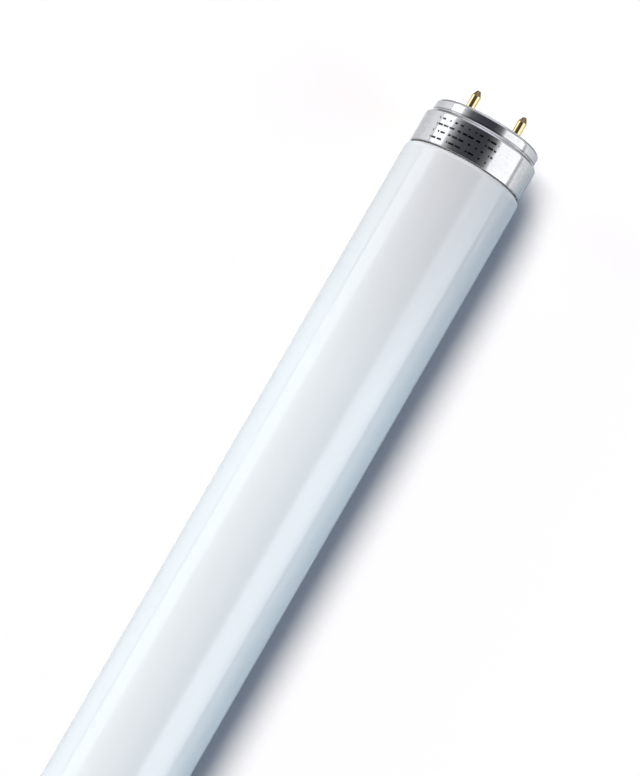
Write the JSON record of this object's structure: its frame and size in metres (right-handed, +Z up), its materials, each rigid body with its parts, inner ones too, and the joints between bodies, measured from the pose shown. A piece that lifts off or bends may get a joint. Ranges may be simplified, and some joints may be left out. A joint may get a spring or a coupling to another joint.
{
  "type": "fluorescent tube",
  "caption": "Straight white fluorescent tube with a stepped aluminium cap and a pair of brass contact pins on each end.",
  "frame": {"origin": "middle of the tube, on its axis", "axes": "+X along the tube towards the end that the picture shows, the pins of each end side by side along Y, +Z up"},
  "size_m": [0.6034, 0.031, 0.031],
  "materials": {
    "coated_glass": "glossy clear glass over a matt white powder coating",
    "drawn_aluminium": "bright drawn aluminium with fine lines round the axis",
    "moulded_phenolic": "dull dark brown moulding",
    "brass": "bright drawn brass",
    "nickel_wire": "drawn wire",
    "basing_cement": "dull baked cement"
  },
  "bodies": {
    "root": {"glass_tube": "coated_glass", "left_end_cap": "drawn_aluminium", "right_end_cap": "drawn_aluminium", "left_pin_plate": "moulded_phenolic", "right_pin_plate": "moulded_phenolic", "left_front_pin": "brass", "left_rear_pin": "brass", "right_front_pin": "brass", "right_rear_pin": "brass", "left_front_lead_wire": "nickel_wire", "left_rear_lead_wire": "nickel_wire", "right_front_lead_wire": "nickel_wire", "right_rear_lead_wire": "nickel_wire", "left_cement_ring": "basing_cement", "right_cement_ring": "basing_cement"}
  },
  "joints": []
}
